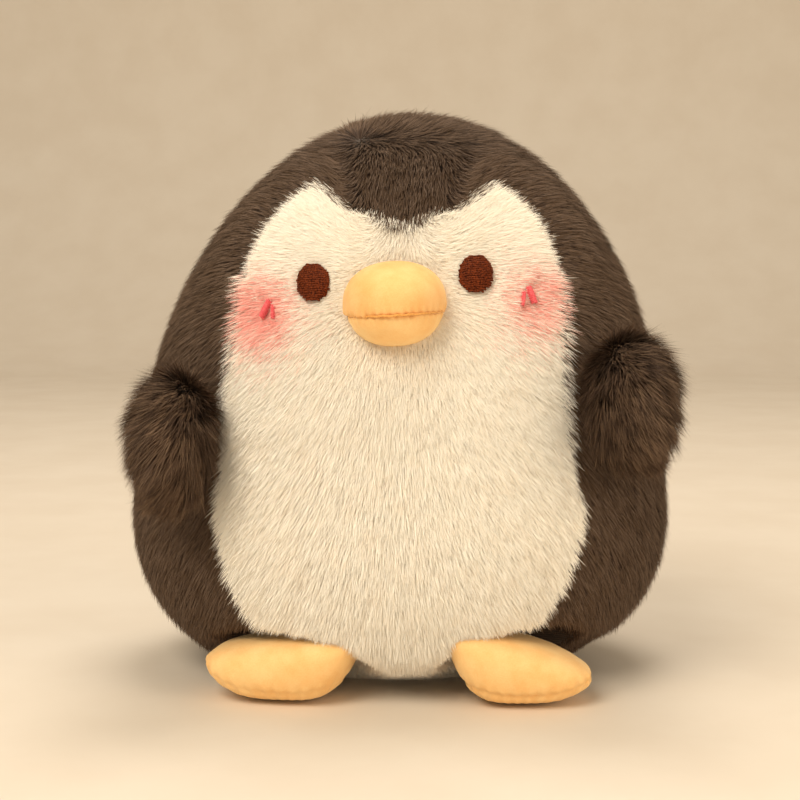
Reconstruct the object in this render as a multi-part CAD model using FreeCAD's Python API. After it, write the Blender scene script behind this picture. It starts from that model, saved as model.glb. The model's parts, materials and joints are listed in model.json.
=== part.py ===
import FreeCAD, Part
import math
import os
from FreeCAD import Matrix, Rotation, Vector

# A stuffed penguin in fur fabric, sitting on its flat base. Millimetres. The face looks
# along -Y, its own left hand is on the +X side, and the origin is the base's centre on
# the floor. Every outer face lies half way up the pile, which stands a few mm proud.

# Body: an egg, flattened front to back, cut off flat at the floor, leaning a little to +X.
# Its side is two quarter ellipses that meet at the widest place.
body_half_width = 101.0
widest_height = 66.0
above_widest = 143.5
below_widest = 86.0
depth_ratio = 0.80       # front-to-back size over side-to-side size
body_lean = 0.04         # sideways shift per mm of height above lean_height
lean_height = 80.0
fur_thickness = 4.0      # backing cloth and the lower half of the pile
seam_lift = 0.3          # threads lie this far off the pile
seat_gap = 0.8           # air between the body and a limb that moves

# White front: half of its outline, seen from the front, from the forehead's tip of dark
# fur over the brow and down the side to the base.
peak_half = [(0, 168), (9, 169), (18, 173), (31.5, 182)]
side_half = [(31.5, 182), (44, 174.5), (54, 158), (58, 130), (62, 88), (65, 70), (58, 42), (40, 14)]

# What is sewn on the front sits turned by this many degrees, higher on the +X side.
face_tilt = 3.0

# Stuffed bill, closed in the middle by a mouth seam.
beak_centre = Vector(0, -68, 140.5)
beak_half = Vector(17.3, 22.5, 14.8)
beak_mouth_height = 137.3
velvet_thickness = 1.5
mouth_thread_radius = 0.5

# Embroidery.
eye_x = {1: 26.4, -1: -29.4}
eye_z = 149.1
eye_half_width = 5.8
eye_half_height = 6.3
embroidery_height = 1.0
cheek_strokes = [((46.9, 138.2), (44.3, 143.5), 1.1), ((42.8, 142.5), (42.6, 137.1), 0.6)]

# Wings: short stubs that point forward from the side seams.
wing_root = {1: Vector(78, -49, 103.5), -1: Vector(-75.5, -49, 98)}   # sewn on a little unevenly
wing_half = Vector(15.5, 22, 23.5)
wing_filling_half = Vector(11.5, 14, 18.5)
wing_filling_ahead = 3.0 # the filling stops short of the root, where the two skins are sewn flat
wing_reach = 16.0        # from the root to the stub's middle
wing_turn_out = {1: 8, -1: -5}   # degrees from straight forward, away from the body
wing_swing = 45          # degrees that it swings out to the side

# Feet: flat-bottomed oval cushions tucked under the belly.
foot_centre = {1: Vector(45, -50, 12.6), -1: Vector(-36.5, -50, 12.6)}
foot_half = Vector(27.5, 19, 14)
foot_splay = 8.0         # degrees, toes outward
foot_seam_tilt = 9.0     # degrees, the edge seam drops towards the outer end
foot_hinge_y = -33.0
foot_hinge_z = 13.0
foot_lift = 10           # degrees that the toes lift
foot_gap = 1.8           # room round each foot for its lift

# Hand-sewn closing seam low in the middle of the back, and the label in the base seam.
closing_low = 52.0
closing_stitches = 7
closing_pitch = 5.0
closing_length = 4.0
closing_radius = 0.45
label_size = Vector(20, 26, 0.6)
label_x = 38.0
label_z = 3.0

big = 400.0


def lean_at(height):
    """Sideways shift of everything on the body at this height."""
    return body_lean * (height - lean_height)


def tilted(x, z):
    """A point on the front, after the lean and the sewn-on tilt."""
    return x + lean_at(z), z + x * math.tan(math.radians(face_tilt))


def half_width(height):
    """Half the body's width at this height."""
    rise = height - widest_height
    return body_half_width * math.sqrt(1 - (rise / (above_widest if rise > 0 else below_widest)) ** 2)


def settled(shape, low):
    """A round shape flattened front to back and leaning, as the stuffing settles, cut off at low."""
    settle = Matrix()
    settle.A22 = depth_ratio
    settle.A13 = body_lean
    settle.A14 = -body_lean * lean_height
    largest = max(shape.Solids, key=lambda solid: solid.Volume)
    solid = Part.Solid(largest.transformGeometry(settle).Shells[0])
    solid = solid.common(slab(low, big))
    solid.fix(1e-4, 1e-5, 1e-3)
    return solid


def side_arcs(inset):
    """The round body's side in the XZ plane, moved in by inset, from the crown to its lowest point."""
    middle = Vector(0, 0, widest_height)
    crown = middle + Vector(0, 0, above_widest - inset)
    widest = middle + Vector(body_half_width - inset, 0, 0)
    lowest = middle - Vector(0, 0, below_widest - inset)
    upper = Part.ArcOfEllipse(Part.Ellipse(crown, widest, middle), 0, math.pi / 2)
    lower = Part.ArcOfEllipse(Part.Ellipse(widest, lowest, middle), 0, math.pi / 2)
    return [upper.toShape(), lower.toShape()], crown, lowest


def revolved(edges, start=0, sweep=360):
    """The outline swept about Z, from start degrees round from +X."""
    face = Part.Face(Part.Wire(Part.__sortEdges__(edges)))
    face.rotate(Vector(0, 0, 0), Vector(0, 0, 1), start)
    return face.revolve(Vector(0, 0, 0), Vector(0, 0, 1), sweep)


def round_body(inset):
    """The body before it settles, with its surface moved in by inset."""
    arcs, crown, lowest = side_arcs(inset)
    return revolved(arcs + [Part.makeLine(crown, lowest)])


def round_half_wall(side, thickness):
    """The body's skin alone on one side of the middle, before it settles."""
    outer, outer_crown, outer_lowest = side_arcs(0)
    inner, inner_crown, inner_lowest = side_arcs(thickness)
    join = [Part.makeLine(outer_crown, inner_crown), Part.makeLine(outer_lowest, inner_lowest)]
    wall = revolved(outer + inner + join, start=-90 * side, sweep=180)
    wall.fix(1e-4, 1e-5, 1e-3)
    return wall


def slab(low, high):
    """Everything between two heights."""
    return Part.makeBox(2 * big, 2 * big, high - low, Vector(-big, -big, low))


def ellipsoid(half, rotation, centre):
    """A solid ellipsoid with these half sizes, turned and then moved to its place."""
    stretch = Matrix()
    stretch.scale(half)
    solid = Part.makeSphere(1.0).transformGeometry(stretch)
    solid.Placement = FreeCAD.Placement(centre, rotation)
    return solid


def shrunk(half, by):
    return Vector(half.x - by, half.y - by, half.z - by)


def front_prism(side):
    """One half of the white front's outline, carried straight back to the middle of the body."""
    past_middle = -10.0
    edges = []
    for points in ([(past_middle, peak_half[0][1])] + peak_half, side_half):
        curve = Part.BSplineCurve()
        curve.interpolate(Points=[Vector(side * x, -big, z) for x, z in points])
        edges.append(curve.toShape())
    low_x, low_z = side_half[-1]
    corners = [(low_x, low_z), (low_x - 8, -10), (past_middle, -10), (past_middle, peak_half[0][1])]
    corners = [Vector(side * x, -big, z) for x, z in corners]
    edges += [Part.makeLine(start, end) for start, end in zip(corners, corners[1:])]
    wire = Part.Wire(Part.__sortEdges__(edges))
    return Part.Face(wire).extrude(Vector(0, big - 1, 0))


def turned(shape, centre, axis, degrees):
    copy = shape.copy()
    copy.rotate(centre, axis, degrees)
    return copy


def wing(side):
    """Outer solid and stuffing of one wing, both clear of the body over the whole swing."""
    x, z = tilted(wing_root[side].x, wing_root[side].z)
    root = Vector(x, front_y(x, z) - seat_gap, z)
    rotation = Rotation(Vector(0, 0, 1), side * wing_turn_out[side])
    centre = root + rotation.multVec(Vector(0, -wing_reach, 0))
    outer = ellipsoid(wing_half, rotation, centre)
    filling = ellipsoid(wing_filling_half, rotation, centre + rotation.multVec(Vector(0, -wing_filling_ahead, 0)))
    free_side = Part.makeBox(big, big, big, Vector(-big / 2, -big, -big / 2))
    free_side.Placement = FreeCAD.Placement(root, front_turn(x, z))
    for step in (0, wing_swing):
        space = turned(free_side, root, Vector(0, 0, 1), -side * step)
        outer = outer.common(space)
    return outer, filling, root, rotation


def wing_half_space(side, root, rotation):
    """Everything on the outward side of the wing's middle plane."""
    box = Part.makeBox(big, 2 * big, 2 * big, Vector(0 if side > 0 else -big, -big, -big))
    box.Placement = FreeCAD.Placement(root, rotation)
    return box


def foot(side, half):
    rotation = Rotation(Vector(0, 0, 1), side * foot_splay)
    return ellipsoid(half, rotation, foot_centre[side]).common(slab(0, big))


def foot_space(side):
    """The room in the round body for one foot, with a ceiling that rises as its toes lift."""
    place = foot_centre[side]
    middle = Vector(place.x - lean_at(place.z), place.y / depth_ratio, 0)
    ring = Part.Ellipse(Vector(0, 0, 0), foot_half.x + foot_gap, (foot_half.y + foot_gap) / depth_ratio)
    post = Part.Face(Part.Wire(ring.toShape())).extrude(Vector(0, 0, big / 2))
    post.Placement = FreeCAD.Placement(middle - Vector(0, 0, 20), Rotation(Vector(0, 0, 1), side * foot_splay))
    ceiling = Part.makeBox(2 * big, 2 * big, big, Vector(-big, -big, -big))
    hinge_top = Vector(0, foot_hinge_y / depth_ratio, place.z + foot_half.z + foot_gap)
    ceiling.Placement = FreeCAD.Placement(hinge_top, Rotation(Vector(1, 0, 0), -foot_lift))
    return post.common(ceiling)


def rod(start, end, radius):
    """A thread laid from start to end, with round ends."""
    along = end - start
    solid = Part.makeCylinder(radius, along.Length, start, along)
    return solid.fuse([Part.makeSphere(radius, start), Part.makeSphere(radius, end)])


def front_y(x, z):
    """Y of the body's front surface."""
    across = (x - lean_at(z)) / half_width(z)
    return -depth_ratio * half_width(z) * math.sqrt(1 - across * across)


def mouth_thread(centre, turn):
    """The mouth seam's thread, laid round the front of the beak just outside it."""
    drop = beak_mouth_height - beak_centre.z
    level = math.sqrt(1 - (drop / beak_half.z) ** 2)
    off = mouth_thread_radius + 0.05
    half_x = beak_half.x * level + off
    half_y = beak_half.y * level + off
    reach = math.radians(68)
    points = []
    for number in range(9):
        angle = -reach + number * reach / 4
        points.append(Vector(half_x * math.sin(angle), -half_y * math.cos(angle), drop))
    curve = Part.BSplineCurve()
    curve.interpolate(Points=points)
    ring = Part.Wire(Part.makeCircle(mouth_thread_radius, points[0], curve.tangent(curve.FirstParameter)[0]))
    tube = Part.Wire(curve.toShape()).makePipeShell([ring], True, True)
    tube.Placement = FreeCAD.Placement(centre, turn)
    return tube


def front_turn(x, z):
    """The rotation that takes -Y to the body's outward direction at this place on the front."""
    step = 0.5
    slope_x = (front_y(x + step, z) - front_y(x - step, z)) / (2 * step)
    slope_z = (front_y(x, z + step) - front_y(x, z - step)) / (2 * step)
    return Rotation(Vector(0, -1, 0), Vector(slope_x, -1, slope_z))


def eye(side):
    """A satin-stitched oval with a flat back that lies on the face."""
    x, z = tilted(eye_x[side], eye_z)
    dome = ellipsoid(Vector(eye_half_width, embroidery_height, eye_half_height), Rotation(), Vector(0, 0, 0))
    dome = dome.common(Part.makeBox(big, big, big, Vector(-big / 2, -big, -big / 2)))
    dome.Placement = FreeCAD.Placement(Vector(x, front_y(x, z) - 0.1, z), front_turn(x, z))
    return dome


def cheek_stitch(side):
    strokes = []
    for (x0, z0), (x1, z1), radius in cheek_strokes:
        ends = []
        for x, z in ((x0, z0), (x1, z1)):
            px, pz = tilted(side * x, z)
            ends.append(Vector(px, front_y(px, pz) - radius - seam_lift, pz))
        strokes.append(rod(ends[0], ends[1], radius))
    return Part.makeCompound(strokes)


def closing_stitch():
    stitches = []
    for number in range(closing_stitches):
        z = closing_low + number * closing_pitch
        x = lean_at(z)
        y = depth_ratio * half_width(z) + closing_radius + seam_lift
        slope = math.radians(14 if number % 2 else -14)
        reach = Vector(math.cos(slope), 0, math.sin(slope)) * (closing_length / 2)
        stitches.append(rod(Vector(x, y, z) - reach, Vector(x, y, z) + reach, closing_radius))
    return Part.makeCompound(stitches)


def care_label(body_outer):
    """A blank folded label that sticks out of the base seam at the back."""
    seam_y = -front_y(label_x, label_z)
    corner = Vector(label_x - label_size.x / 2, seam_y - label_size.y / 2, label_z)
    return Part.makeBox(label_size.x, label_size.y, label_size.z, corner).cut(body_outer)


def save(name, shape):
    shape.exportStep("parts/" + name + ".step")
    print(name, "solids", len(shape.Solids), "valid", shape.isValid(), "mm3", round(shape.Volume))


os.makedirs("parts", exist_ok=True)
names = {-1: "_right", 1: "_left"}   # the penguin's own right and left

body_outer = settled(round_body(0), 0)
foot_spaces = [foot_space(1), foot_space(-1)]

# Body panels and filling
for side in (1, -1):
    prism = front_prism(side)
    wall = round_half_wall(side, fur_thickness).cut(foot_spaces)
    save("front_panel" + names[side], settled(wall.common(prism), fur_thickness))
    save("back_panel" + names[side], settled(wall.cut(prism), fur_thickness))
base = settled(round_body(0).cut(foot_spaces), 0)
save("base_panel", base.common(slab(0, fur_thickness)))
save("body_stuffing", settled(round_body(fur_thickness).cut(foot_spaces), fur_thickness))

# Wings
for side in (1, -1):
    outer, filling, root, rotation = wing(side)
    skin = outer.cut(filling)
    away = wing_half_space(side, root, rotation)
    save("wing_outer_panel" + names[side], skin.common(away))
    save("wing_inner_panel" + names[side], skin.cut(away))
    save("wing_stuffing" + names[side], filling)

# Feet
for side in (1, -1):
    outer = foot(side, foot_half)
    filling = foot(side, shrunk(foot_half, velvet_thickness)).common(slab(velvet_thickness, big))
    skin = outer.cut(filling)
    above = slab(0, big)
    above.Placement = FreeCAD.Placement(
        foot_centre[side] - Vector(0, 0, 2), Rotation(Vector(0, 1, 0), side * foot_seam_tilt))
    save("foot_upper" + names[side], skin.common(above))
    save("foot_sole" + names[side], skin.cut(above))
    save("foot_stuffing" + names[side], filling)

# Beak
beak_turn = Rotation(Vector(0, 1, 0), -face_tilt)
centre_x, centre_z = tilted(beak_centre.x, beak_centre.z)
centre = Vector(centre_x, beak_centre.y, centre_z)
beak_outer = ellipsoid(beak_half, beak_turn, centre).cut(body_outer)
beak_filling = ellipsoid(shrunk(beak_half, velvet_thickness), beak_turn, centre).cut(body_outer)
beak_skin = beak_outer.cut(beak_filling)
upper_space = slab(0, big)
mouth = Vector(lean_at(beak_mouth_height), 0, beak_mouth_height)
upper_space.Placement = FreeCAD.Placement(mouth, beak_turn)
save("beak_upper", beak_skin.common(upper_space))
save("beak_lower", beak_skin.cut(upper_space))
save("beak_stuffing", beak_filling)
save("mouth_stitch", mouth_thread(centre, beak_turn))

# Embroidery, closing seam and label
for side in (1, -1):
    save("eye" + names[side], eye(side))
    save("cheek_stitch" + names[side], cheek_stitch(side))
save("closing_stitch", closing_stitch())
save("care_label", care_label(body_outer))
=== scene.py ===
# Stuffed penguin: long plush pile, velvet beak and feet, embroidered eyes and cheeks
import json
import math

import bmesh
import bpy
import numpy as np
from mathutils import Matrix, Vector

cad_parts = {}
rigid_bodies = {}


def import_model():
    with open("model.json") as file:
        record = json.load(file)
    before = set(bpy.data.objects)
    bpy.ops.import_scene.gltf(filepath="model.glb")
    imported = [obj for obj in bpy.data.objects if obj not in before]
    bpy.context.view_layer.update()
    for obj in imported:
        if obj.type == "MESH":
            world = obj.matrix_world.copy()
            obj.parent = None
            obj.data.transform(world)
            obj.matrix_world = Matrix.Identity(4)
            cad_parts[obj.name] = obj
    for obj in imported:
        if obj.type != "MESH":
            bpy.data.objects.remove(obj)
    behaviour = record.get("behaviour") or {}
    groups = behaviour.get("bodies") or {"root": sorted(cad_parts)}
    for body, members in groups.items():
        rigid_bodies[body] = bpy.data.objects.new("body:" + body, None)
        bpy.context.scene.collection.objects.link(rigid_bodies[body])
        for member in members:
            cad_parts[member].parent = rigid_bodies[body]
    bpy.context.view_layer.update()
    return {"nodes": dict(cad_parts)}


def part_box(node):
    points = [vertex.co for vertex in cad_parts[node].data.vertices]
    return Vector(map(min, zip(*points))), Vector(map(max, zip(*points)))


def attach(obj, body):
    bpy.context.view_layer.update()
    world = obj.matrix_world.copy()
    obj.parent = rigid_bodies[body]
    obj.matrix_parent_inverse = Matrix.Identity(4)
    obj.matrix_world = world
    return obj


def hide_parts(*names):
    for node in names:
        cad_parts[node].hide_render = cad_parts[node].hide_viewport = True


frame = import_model()
scene = bpy.context.scene
mm = 0.001
print("frame loaded", len(frame["nodes"]), "nodes")


# colours and materials

def toLinear(hexColour):
    channels = [int(hexColour[place:place + 2], 16) / 255 for place in (1, 3, 5)]
    curved = [c / 12.92 if c <= 0.04045 else ((c + 0.055) / 1.055) ** 2.4 for c in channels]
    return (*curved, 1.0)


def addNode(tree, kind, settings=None, inputs=None):
    # adds a node with its settings; an input is a plain value or another node's socket
    node = tree.nodes.new(kind)
    for name, value in (settings or {}).items():
        setattr(node, name, value)
    for name, value in (inputs or {}).items():
        if isinstance(value, bpy.types.NodeSocket):
            tree.links.new(value, node.inputs[name])
        else:
            node.inputs[name].default_value = value
    return node


def newMaterial(name, **shader):
    material = bpy.data.materials.new(name)
    material.use_nodes = True
    surface = material.node_tree.nodes["Principled BSDF"]
    for socket, value in shader.items():
        surface.inputs[socket.replace("_", " ")].default_value = value
    return material, material.node_tree, surface


def fibreMaterial(name, hexColour, sheen):
    # acrylic pile fibre, spun fine and sheared: dull, with a soft light along its edge
    # one even colour a fibre; the coat's variation comes from its many tones, and a root darker than its tip
    # is painted shade between the fibres
    material, _, surface = newMaterial(
        name, Roughness=0.72, Sheen_Weight=sheen, Sheen_Roughness=0.5,
        Specular_IOR_Level=0.25, IOR=1.49)
    surface.inputs["Base Color"].default_value = toLinear(hexColour)
    surface.inputs["Sheen Tint"].default_value = toLinear(hexColour)
    return material


def speckled(tree, size, detail):
    # noise on the object's own coordinates; size is the grain's size in metres
    place = addNode(tree, "ShaderNodeTexCoord")
    return addNode(tree, "ShaderNodeTexNoise", None, {
        "Vector": place.outputs["Object"], "Scale": 1.0 / size, "Detail": detail, "Roughness": 0.55})


def colourBetween(tree, factor, first, second, low=0.35, high=0.65):
    ramp = addNode(tree, "ShaderNodeValToRGB", None, {"Fac": factor})
    ramp.color_ramp.elements[0].position = low
    ramp.color_ramp.elements[0].color = toLinear(first)
    ramp.color_ramp.elements[1].position = high
    ramp.color_ramp.elements[1].color = toLinear(second)
    return ramp.outputs["Color"]


def relief(tree, surface, height, strength, depth):
    # bumps from a pattern, depth in mm
    bump = addNode(tree, "ShaderNodeBump", None, {
        "Height": height, "Strength": strength, "Distance": depth * mm})
    tree.links.new(bump.outputs["Normal"], surface.inputs["Normal"])


def ribs(tree, direction, pitch, inputs):
    # straight rows, pitch mm from one to the next
    place = addNode(tree, "ShaderNodeTexCoord")
    scale = 2 * math.pi / (20 * pitch * mm)
    return addNode(tree, "ShaderNodeTexWave", {"bands_direction": direction}, {
        "Vector": place.outputs["Object"], "Scale": scale, **inputs})


def velvetMaterial(name, deep, pale, sheenColour):
    # short-pile knitted velvet, brushed: no gloss, a pale bloom where it turns away, faint stroke marks
    material, tree, surface = newMaterial(
        name, Sheen_Weight=0.55, Sheen_Roughness=0.35, Specular_IOR_Level=0.2, IOR=1.5)
    surface.inputs["Sheen Tint"].default_value = toLinear(sheenColour)
    strokes = speckled(tree, 9 * mm, 2.0)
    grain = speckled(tree, 0.5 * mm, 2.0)      # the real pile is about 0.1 mm, drawn coarser to show
    mixed = addNode(tree, "ShaderNodeMath", {"operation": "MULTIPLY_ADD"}, {
        0: grain.outputs["Fac"], 1: 0.35, 2: 0.0})
    both = addNode(tree, "ShaderNodeMath", {"operation": "MULTIPLY_ADD"}, {
        0: strokes.outputs["Fac"], 1: 0.65, 2: mixed.outputs[0]})
    tree.links.new(colourBetween(tree, both.outputs[0], deep, pale), surface.inputs["Base Color"])
    rough = addNode(tree, "ShaderNodeMapRange", None, {
        "Value": grain.outputs["Fac"], "To Min": 0.78, "To Max": 0.95})
    tree.links.new(rough.outputs["Result"], surface.inputs["Roughness"])
    relief(tree, surface, grain.outputs["Fac"], 0.35, 0.15)
    return material


def knitMaterial(name, deep, pale):
    # knitted backing of the plush: rows of loops about 0.8 mm apart, seen only where the pile parts
    material, tree, surface = newMaterial(name, Roughness=0.9, Sheen_Weight=0.2, IOR=1.5)
    rows = ribs(tree, "Z", 0.8, {"Distortion": 1.5, "Detail": 1.0, "Detail Scale": 2.0})
    tree.links.new(colourBetween(tree, rows.outputs["Fac"], deep, pale, 0.2, 0.8),
                   surface.inputs["Base Color"])
    relief(tree, surface, rows.outputs["Fac"], 0.3, 0.2)
    return material


def threadMaterial(name, deep, pale, roughness, sheen=0.2, specular=0.3):
    # rayon embroidery thread, two-ply: a silky lengthwise gloss, and the deep colour laid in the low places
    # of the bump as painted shade in the hollows between the plies
    material, tree, surface = newMaterial(
        name, Roughness=roughness, Sheen_Weight=sheen, Specular_IOR_Level=specular, IOR=1.53)
    ply = speckled(tree, 0.55 * mm, 3.0)
    tree.links.new(colourBetween(tree, ply.outputs["Fac"], deep, pale), surface.inputs["Base Color"])
    relief(tree, surface, ply.outputs["Fac"], 0.4, 0.12)
    return material


def fillingMaterial():
    # loose polyester fibre filling: matt white, cloudy lumps a centimetre across
    material, tree, surface = newMaterial("polyesterFilling", Roughness=0.95, Sheen_Weight=0.3, IOR=1.5)
    lumps = speckled(tree, 10 * mm, 6.0)
    tree.links.new(colourBetween(tree, lumps.outputs["Fac"], "#E4E2DC", "#FAF9F6"),
                   surface.inputs["Base Color"])
    relief(tree, surface, lumps.outputs["Fac"], 0.5, 1.0)
    return material


def satinMaterial():
    # woven satin ribbon: smooth white with a fine cross rib and a soft gloss
    material, tree, surface = newMaterial("satinRibbon", Roughness=0.38, Sheen_Weight=0.3, IOR=1.5)
    rib = ribs(tree, "X", 0.5, {"Distortion": 0.4})
    tree.links.new(colourBetween(tree, rib.outputs["Fac"], "#E9E4DA", "#F6F2EA", 0.1, 0.9),
                   surface.inputs["Base Color"])
    relief(tree, surface, rib.outputs["Fac"], 0.25, 0.05)
    return material


def paperMaterial():
    # matt seamless paper for the floor
    material, tree, surface = newMaterial("seamlessPaper", Roughness=0.8, IOR=1.45)
    mottle = speckled(tree, 60 * mm, 4.0)
    tree.links.new(colourBetween(tree, mottle.outputs["Fac"], "#DCD2C4", "#E0D7CA"),
                   surface.inputs["Base Color"])
    return material


# root and tip colour of each tone of fibre; the darker roots of the cream, dark and wing tones are painted
# shade between the fibres, and the blush tones are pinker at the tips
creamTones = [("#FCF1E2", "#FFF8EB"), ("#FDF4E6", "#FFFAEE"), ("#FEF7EA", "#FFFCF3")]
blushTones = [("#FCDDD0", "#FED5C8"), ("#FAB9AE", "#FCACA2")]
darkTones = [("#423228", "#544130"), ("#493A2F", "#5E4B3C"), ("#524238", "#6A5748")]
wingTones = [("#32261D", "#4A3A2F"), ("#3F3127", "#604C3D"), ("#4A3B2E", "#7A634F")]


def toneMaterials(name, tones, sheen):
    made = []
    for number, (root, tip) in enumerate(tones, 1):
        made.append(fibreMaterial(f"{name}Root{number}", root, sheen))
        made.append(fibreMaterial(f"{name}Tip{number}", tip, sheen))
    return made


creamFibres = toneMaterials("creamPlush", creamTones, 0.25)
blushFibres = toneMaterials("airbrushedPlush", blushTones, 0.2)
darkFibres = toneMaterials("darkPlush", darkTones, 0.12)
wingFibres = toneMaterials("wingPlush", wingTones, 0.15)
creamKnit = knitMaterial("creamKnitBacking", "#EFE2CE", "#F8EFE0")
darkKnit = knitMaterial("darkKnitBacking", "#3A2F27", "#4A3D33")
yellowVelvet = velvetMaterial("yellowVelvet", "#F2B873", "#FACB8C", "#FFE2B0")
# the same yellow velvet made paler, as painted light: it lifts the shade under the upper lip and on the feet
# low down
paintedLightVelvet = velvetMaterial("paleYellowVelvet", "#F9C681", "#FFD898", "#FFE9C0")
eyeThread = threadMaterial("darkRedThread", "#300E05", "#7E3A1B", 0.6, 0.0, 0.08)
cheekThread = threadMaterial("coralThread", "#E0505A", "#F67A80", 0.5, 0.0)
mouthThread = threadMaterial("ochreThread", "#DB9A48", "#EDB061", 0.6)
seamThread = threadMaterial("darkSeamThread", "#2A211B", "#40342B", 0.6)
filling = fillingMaterial()
satin = satinMaterial()
paper = paperMaterial()
print("materials made")


# the body's shape, in millimetres

bodyShape = {
    "halfWidth": 101.0,
    "widest": 66.0,          # height of the widest place
    "above": 143.5,          # from there to the crown
    "below": 86.0,
    "depth": 0.80,           # front to back against side to side
    "lean": 0.04,
    "leanHeight": 80.0,
    "clothInset": 3.0,       # the cloth lies this far under the middle of the pile
    "faceTilt": 3.0,         # degrees, the features are sewn on a little askew
}
# outline of the white front, from the peak out and down
peakLine = [(0, 166), (8, 168), (16, 174), (29, 184.5)]
sideLine = [(29, 184.5), (42, 176), (54, 158), (58, 130), (62, 88), (65, 70), (58, 42), (40, 14)]


def leanAt(z):
    return bodyShape["lean"] * (z - bodyShape["leanHeight"])


def halfWidthAt(z):
    rise = bodyShape["above"] if z > bodyShape["widest"] else bodyShape["below"]
    return bodyShape["halfWidth"] * math.sqrt(max(0.0, 1 - ((z - bodyShape["widest"]) / rise) ** 2))


def sewnAt(x, z):
    # a place on the front after the lean and the askew sewing
    return x + leanAt(z), z + x * math.tan(math.radians(bodyShape["faceTilt"]))


def onFront(x, z, out=0.0):
    # the point of the body's front at x, z, moved out along its normal
    wide = halfWidthAt(z)
    across = x - leanAt(z)
    y = -bodyShape["depth"] * wide * math.sqrt(max(0.0, 1 - (across / wide) ** 2))
    normal = normalAt(Vector((x, y, z)))
    return Vector((x, y, z)) + normal * out


def normalAt(point):
    wide, depth = bodyShape["halfWidth"], bodyShape["depth"]
    rise = bodyShape["above"] if point.z > bodyShape["widest"] else bodyShape["below"]
    across = point.x - leanAt(point.z)
    normal = Vector((across / wide ** 2, point.y / (depth * wide) ** 2,
                     (point.z - bodyShape["widest"]) / rise ** 2 - across * bodyShape["lean"] / wide ** 2))
    return normal.normalized()


def smoothLine(points, steps=8):
    # a curve through the points, as a list of short straight pieces
    ends = [points[0]] + list(points) + [points[-1]]
    line = []
    for a, b, c, d in zip(ends, ends[1:], ends[2:], ends[3:]):
        for step in range(steps):
            t = step / steps
            line.append(tuple(0.5 * (2 * q + (r - p) * t + (2 * p - 5 * q + 4 * r - s) * t * t
                                     + (3 * q - p - 3 * r + s) * t ** 3)
                              for p, q, r, s in zip(a, b, c, d)))
    return line + [tuple(points[-1])]


def insideDistance(px, pz, polygon):
    # signed distance to a closed outline, positive inside
    ends = np.array(polygon)
    starts = np.roll(ends, 1, axis=0)
    best = np.full(px.shape, 1e9)
    inside = np.zeros(px.shape, bool)
    for (ax, az), (bx, bz) in zip(starts, ends):
        ex, ez = bx - ax, bz - az
        length = ex * ex + ez * ez
        if length < 1e-12:
            continue
        t = np.clip(((px - ax) * ex + (pz - az) * ez) / length, 0, 1)
        best = np.minimum(best, np.hypot(px - ax - t * ex, pz - az - t * ez))
        crosses = (az > pz) != (bz > pz)
        meets = ax + (pz - az) * ex / np.where(abs(ez) < 1e-12, 1e-12, ez)
        inside ^= crosses & (px < meets)
    return np.where(inside, best, -best)


border = {
    "whiteOver": 4.6,        # mm that the white pile reaches over the dark at the sides
    "darkOver": 1.5,         # mm that the hood's pile hangs over the white under the peak
    "lowShift": 3.5,         # the front sits a little to its left low down
}


def frontOutline():
    half = smoothLine(peakLine) + smoothLine(sideLine)[1:] + [(32, -12)]
    return half + [(-x, z) for x, z in reversed(half)]


def smoothStep(value, low, high):
    t = np.clip((value - low) / (high - low), 0, 1)
    return t * t * (3 - 2 * t)


# meshes

def newPiece(name, points, faces):
    mesh = bpy.data.meshes.new(name)
    mesh.from_pydata([tuple(p) for p in points], [], [tuple(f) for f in faces])
    mesh.update()
    mesh.polygons.foreach_set("use_smooth", [True] * len(mesh.polygons))
    piece = bpy.data.objects.new(name, mesh)
    scene.collection.objects.link(piece)
    return piece


def closeUp(piece):
    # doubles merged and faces turned outwards
    work = bmesh.new()
    work.from_mesh(piece.data)
    bmesh.ops.remove_doubles(work, verts=work.verts, dist=1e-6)
    bmesh.ops.recalc_face_normals(work, faces=work.faces)
    work.to_mesh(piece.data)
    work.free()
    return piece


def settle(piece):
    # the evaluated shape as a plain mesh, with no modifiers left
    graph = bpy.context.evaluated_depsgraph_get()
    mesh = bpy.data.meshes.new_from_object(piece.evaluated_get(graph), depsgraph=graph)
    piece.modifiers.clear()
    old = piece.data
    piece.data = mesh
    bpy.data.meshes.remove(old)
    mesh.name = piece.name
    return piece


def coordinates(mesh):
    flat = np.empty(len(mesh.vertices) * 3)
    mesh.vertices.foreach_get("co", flat)
    return flat.reshape(-1, 3)


def setCoordinates(mesh, points):
    mesh.vertices.foreach_set("co", np.asarray(points, float).ravel())
    mesh.update()


def vertexNormals(mesh):
    flat = np.empty(len(mesh.vertices) * 3)
    mesh.vertex_normals.foreach_get("vector", flat)
    return flat.reshape(-1, 3)


def storeOnPoints(mesh, name, values):
    values = np.asarray(values, float)
    kind = "FLOAT_VECTOR" if values.ndim == 2 else "FLOAT"
    attribute = mesh.attributes.new(name, kind, "POINT")
    attribute.data.foreach_set("vector" if values.ndim == 2 else "value", values.ravel())


clothRun = {"frames": 20, "quality": 5, "mass": 0.15}


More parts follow.
